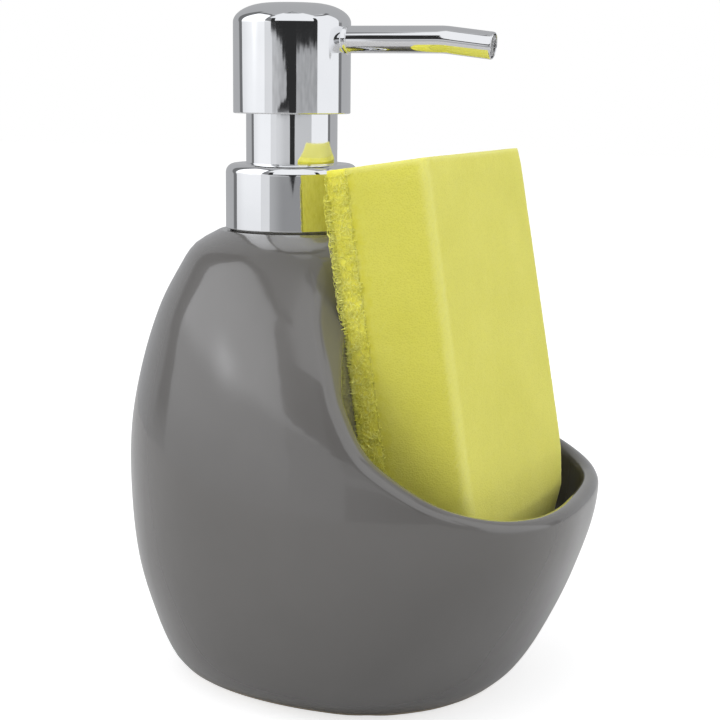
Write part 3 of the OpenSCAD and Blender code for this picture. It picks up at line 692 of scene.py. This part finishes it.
def pad_spot(r):
    """A place and a direction on the pad's open faces."""
    pick, t, s = r.random(), r.random(), r.random()
    if pick < 0.6:
        return [(1.2 * t - 0.02) * PAD_T, -SP_W / 2, 8 + 94 * s], [0, -1, 0]
    if pick < 0.7:
        return [0.5 * t, -SP_W / 2 + 0.5 * t, 8 + 94 * s], [-0.8, -0.6, 0]
    if pick < 0.86:
        return [(t - 0.05) * PAD_T, SP_W / 2, 8 + 93 * s], [0, 1, 0]
    return [0.15, (t - 0.5) * SP_W * 0.98, 78 + 23 * s], [-0.3, 0, 0.1]


def fringe_spot(r):
    """A place and a direction along the pad's near edge."""
    t, s = r.random(), r.random()
    return [0.1 * t, -SP_W / 2 + 0.4 * t, 10 + 87 * s], [-0.9, -0.45, 0]


def strands(name, count, seed, spot, size, tall, out):
    """Curled fibres that stand out of a face, up to `out` behind the pad."""
    r = np.random.default_rng(seed)
    verts, faces = [], []
    steps, sides = 9, 3
    for _ in range(count):
        o, nrm = (np.array(v, float) for v in spot(r))
        o[1] *= np.interp(o[2] / SP_L, SP_LEVELS, SP_WIDE)
        side = np.cross(nrm, r.normal(size=3))
        side /= np.linalg.norm(side)
        up = np.cross(side, nrm)
        radius = size * (0.3 + 1.25 * r.random() ** 2)
        turn = (0.4 + 0.7 * r.random()) * TAU
        lean = 0.9 * (r.random() - 0.5)
        thick = 0.05 + 0.035 * r.random()
        start = r.random() * TAU
        path = []
        for i in range(steps):
            a = start + turn * i / (steps - 1)
            path.append(o + nrm * (radius * tall * math.sin(a) + 0.06)
                        + side * radius * math.cos(a)
                        + up * lean * 2.2 * (i / (steps - 1) - 0.5))
        path = np.array(path)
        path[:, 0] = np.maximum(path[:, 0], -out)
        base = len(verts)
        for i in range(steps):
            d = path[min(i + 1, steps - 1)] - path[max(i - 1, 0)]
            d /= np.linalg.norm(d) + 1e-9
            e = np.cross(d, [0.3, 0.5, 0.81])
            e /= np.linalg.norm(e) + 1e-9
            f = np.cross(d, e)
            w = thick * (0.35 if i in (0, steps - 1) else 1)
            for k in range(sides):
                b = TAU * k / sides
                verts.append(place(path[i] + w * (math.cos(b) * e + math.sin(b) * f)))
        for i in range(steps - 1):
            faces += band(base + i * sides, base + (i + 1) * sides, sides)
        for end in (base, base + (steps - 1) * sides):
            faces.append((end, end + 1, end + 2))
    return make(name, verts, faces)


curls = strands("pad_curls", 4600, 11, pad_spot, 0.6, 0.35, 0.0)
fringe = strands("pad_fringe", 1200, 12, fringe_spot, 0.95, 0.9, 0.9)
for piece in (curls, fringe):
    piece.data.materials.append(STRAND)
    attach(piece, "sponge")


# Camera at the photograph's angle, for a square frame
def direction(az, el):
    """Unit vector towards an azimuth and elevation, seen from the middle."""
    return Vector((math.sin(az) * math.cos(el), -math.cos(az) * math.cos(el), math.sin(el)))


CAM_AZ, CAM_EL, CAM_DIST = math.radians(18.94), math.radians(9.41), 0.435
CAM_ROLL = math.radians(0.49)
CAM_TARGET = Vector((0.01656, 0.00568, 0.07964))
cam_data = bpy.data.cameras.new("camera")
cam = add_object("camera", cam_data)
cam_data.lens, cam_data.sensor_width = 85.2, 36
cam_data.clip_start, cam_data.clip_end = 0.01, 50
back = direction(CAM_AZ, CAM_EL)
cam.location = CAM_TARGET + back * CAM_DIST
cam.rotation_mode = "QUATERNION"
cam.rotation_quaternion = (-back).to_track_quat("-Z", "Y")
bpy.context.view_layer.update()
cam.rotation_quaternion = Quaternion(back, CAM_ROLL) @ cam.rotation_quaternion
bpy.context.scene.camera = cam

# Studio: pale floor, white background, a tent that only reflections see, and soft lamps
MID = Vector((0.0, 0.0, 0.09))
TENT_R, TENT_LOW, BLACK = 0.55, -9.4, 0.03
ROUGH_ROWS = 132


def ease(x, lo, hi):
    t = np.clip((x - lo) / (hi - lo), 0, 1)
    return t * t * (3 - 2 * t)


def window(x, lo, hi, soft):
    """One between lo and hi, zero outside, with soft edges."""
    return ease(x, lo - soft / 2, lo + soft / 2) * (1 - ease(x, hi - soft / 2, hi + soft / 2))


def toward(v, share, level):
    return v + share * (level - v)


def tent(a, e, rough):
    """Reflected studio: brightness at angles right of the camera and up, in degrees."""
    v = np.full(a.shape, 0.45)
    side = -107 - 4.5 * ease(e, 0, 14) + 6.5 * ease(e, 28, 60)
    near = -35.5 - 15.5 * ease(e, 8.6, 15)
    lift = e + 7 * np.clip((a + 81) / 30, -1, 1) ** 4
    rim = side - 10.5 - 12 * ease(e, 4, 34)
    past_side, past_box = ease(a, side - 1, side + 1), ease(a, -52, -50)
    past_near = ease(a, near - 0.75, near + 0.75)

    # Left: a grey rim, the softbox with its hot spot, and a grey edge before the dark front
    grey = (ease(a, rim - 2, rim + 2) - past_side) * (1 - ease(e, 58, 64)) * ease(e, TENT_LOW, -3)
    v = toward(v, grey, 0.18)
    v = toward(v, window(a, 104.5, 114, 1.5) * (1 - ease(e, 9, 11)), 0.20)
    box = 0.72 + 0.28 * ease(e, -9, 2) + 0.66 * ease(e, 8.5, 16) - 0.2 * ease(e, 35, 60)
    box = box * (0.88 + 0.12 * ease(a, -107, -84))
    v = toward(v, (past_side - past_box) * (1 - ease(lift, 57, 62)), box)
    v = toward(v, (past_box - past_near) * np.maximum(0, 1 - ease(e, 15, 16)),
               0.78 + (box - 0.78) * ease(e, 9, 12))
    v = toward(v, past_near - ease(a, -36.25, -34.75), 0.24 + 0.3 * ease(e, 57, 63))
    v = v + 1.1 * np.exp(-(((a + 75) / 6) ** 2 + ((e - 16.5) / 6) ** 2))

    # Right: a second box
    v = toward(v, window(a, 52, 104.5, 1.5) * (1 - ease(e, 57, 62)),
               0.96 - 0.2 * (1 - ease(e, -9, 2)))

    # Front: grey steps, with the camera side's dark shapes over them
    level = (0.30 + 0.14 * (1 - ease(a, -36, -10)) + 0.30 * ease(e, 0.9, 1.5)
             + (0.05 * rough - 0.19) * ease(e, 4.0, 4.4))
    v = toward(v, window(a, -35.5, 52, 1.0), level)
    jag = np.interp(e, (4.2, 4.6, 4.9, 5.2, 6.6, 7.5, 8.1, 8.6, 9.2),
                    (-27, -26, -18, -7, -9, -14, -20, -27, -35)) + 2.5 * rough
    left = ease(a, jag - 0.7, jag + 0.7) * (1 - ease(a, -4, 0)) * ease(e, 4.2, 4.5)
    right = (1 - ease(a, 51, 52)) * ease(a, 3, 4) * ease(e + 0.25 * rough, 7.7, 8.3)
    reach = 38 - 24 * ease(a, -32, -30) * (1 - ease(a, 44, 46))
    over = (window(a, -38.5, 52, 1.0) * ease(e, 8.6, 9.2)
            * (1 - ease(e, reach - 0.4, reach + 0.4)))
    edge = ease(e, -0.4, 1.2) * 7 + ease(e, 3.9, 4.6) * 1.5
    stripe = (window(a, 4.5 - edge, 4.5 + edge * 0.72, 0.8) * ease(e, -0.5, -0.2)
              * (1 - ease(e, 13, 14.5)))
    for dark in (left, right, over, stripe):
        v = toward(v, dark, BLACK)

    # Above: white over the front, grey beyond it, and a glow near the top
    v = toward(v, window(a, -44, 60, 6) * ease(e, reach, reach + 1) * (1 - ease(e, 77, 79)), 0.97)
    ring = np.where((a > -42) & (a < 60), window(e, 77.5, 81, 1.5), window(lift, 60, 65, 2))
    v = toward(v, (1 - ease(np.abs(a), 118, 124)) * ring, 0.16)
    return v + 0.5 * np.exp(-(((83 - e) / 4) ** 2 + ((a - 14) / 40) ** 2))


def build_tent():
    turn = np.linspace(-180, 180, 1081)[:-1]
    tilt = np.concatenate([np.arange(TENT_LOW, 10, 0.15), np.linspace(10, 90, 70)])
    a, e = np.meshgrid(turn, tilt, indexing="ij")
    rough = np.array([[noise.noise(Vector((x * 0.22, y * 2.2, 1.7))) * 2
                       for y in tilt[:ROUGH_ROWS]] for x in turn])
    rough = np.pad(rough, ((0, 0), (0, len(tilt) - ROUGH_ROWS)), mode="edge")
    w, h = CAM_AZ + np.radians(a), np.radians(e)
    verts = np.stack([np.sin(w) * np.cos(h), -np.cos(w) * np.cos(h), np.sin(h)], -1)
    verts = verts * TENT_R + np.array(MID)
    m, n = a.shape
    i, j = np.meshgrid(np.arange(m), np.arange(n - 1), indexing="ij")
    p, q = i * n + j, (i + 1) % m * n + j
    faces = np.stack([p, p + 1, q + 1, q], -1).reshape(-1, 4)
    mesh = bpy.data.meshes.new("reflection_tent")
    mesh.from_pydata(verts.reshape(-1, 3).tolist(), [], faces.tolist())
    glow = mesh.attributes.new("glow", "FLOAT", "POINT")
    glow.data.foreach_set("value", tent(a, e, rough).ravel())
    return add_object("reflection_tent", mesh)


tent_obj = build_tent()
tent_mat, light = shader("reflection_tent", "ShaderNodeEmission")
light.inputs["Color"].default_value = (0.975, 0.99, 1.02, 1)
glow = node(tent_mat, "ShaderNodeAttribute", attribute_name="glow")
link(tent_mat, glow.outputs["Fac"], light.inputs["Strength"])
tent_obj.data.materials.append(tent_mat)
for seen in ("camera", "diffuse", "shadow", "transmission", "volume_scatter"):
    setattr(tent_obj, "visible_" + seen, False)

# The camera sees the floor lighter than the object does
floor = make("floor", [(-3, -3, 0), (3, -3, 0), (3, 3, 0), (-3, 3, 0)], [(0, 1, 2, 3)])
floor_mat, add = shader("pale_floor", "ShaderNodeAddShader")
matt = node(floor_mat, "ShaderNodeBsdfDiffuse", Color=(0.52, 0.52, 0.52, 1))
white = node(floor_mat, "ShaderNodeEmission", Color=(1, 1, 1, 1))
path = node(floor_mat, "ShaderNodeLightPath")
scale = node(floor_mat, "ShaderNodeMath", operation="MULTIPLY")
scale.inputs[1].default_value = 0.68
link(floor_mat, path.outputs["Is Camera Ray"], scale.inputs[0])
link(floor_mat, scale.outputs[0], white.inputs["Strength"])
link(floor_mat, matt.outputs[0], add.inputs[0])
link(floor_mat, white.outputs[0], add.inputs[1])
floor.data.materials.append(floor_mat)

# The world is white to the camera, in mirrors and through glass, and pale grey as light
world = blank(bpy.data.worlds.new("world"))
bpy.context.scene.world = world
world_out = node(world, "ShaderNodeOutputWorld")
sky = node(world, "ShaderNodeBackground", Strength=1.0)
path = node(world, "ShaderNodeLightPath")
either = node(world, "ShaderNodeMath", operation="MAXIMUM")
any_ray = node(world, "ShaderNodeMath", operation="MAXIMUM")
shade = node(world, "ShaderNodeMix", data_type="RGBA")
shade.inputs["A"].default_value = (0.72, 0.72, 0.73, 1)
shade.inputs["B"].default_value = (1, 1, 1, 1)
link(world, path.outputs["Is Camera Ray"], either.inputs[0])
link(world, path.outputs["Is Glossy Ray"], either.inputs[1])
link(world, either.outputs[0], any_ray.inputs[0])
link(world, path.outputs["Is Transmission Ray"], any_ray.inputs[1])
link(world, any_ray.outputs[0], shade.inputs["Factor"])
link(world, shade.outputs["Result"], sky.inputs["Color"])
link(world, sky.outputs[0], world_out.inputs[0])


def lamp(name, az, el, dist, size, power):
    """Round soft lamp at angles right of the camera and up, in degrees."""
    data = bpy.data.lights.new(name, "AREA")
    data.shape, data.size, data.energy = "DISK", size, power
    obj = add_object(name, data)
    d = direction(CAM_AZ + math.radians(az), math.radians(el))
    obj.location = MID + d * dist
    obj.rotation_mode = "QUATERNION"
    obj.rotation_quaternion = d.to_track_quat("Z", "Y")
    obj.visible_camera = False
    obj.visible_glossy = False


lamp("key_left", -70, 28, 1.3, 0.8, 5.6)
lamp("fill_right", 65, 30, 1.3, 0.8, 4.4)
lamp("top", -18, 62, 1.4, 0.9, 3.4)

bpy.context.scene.view_settings.view_transform = "Standard"
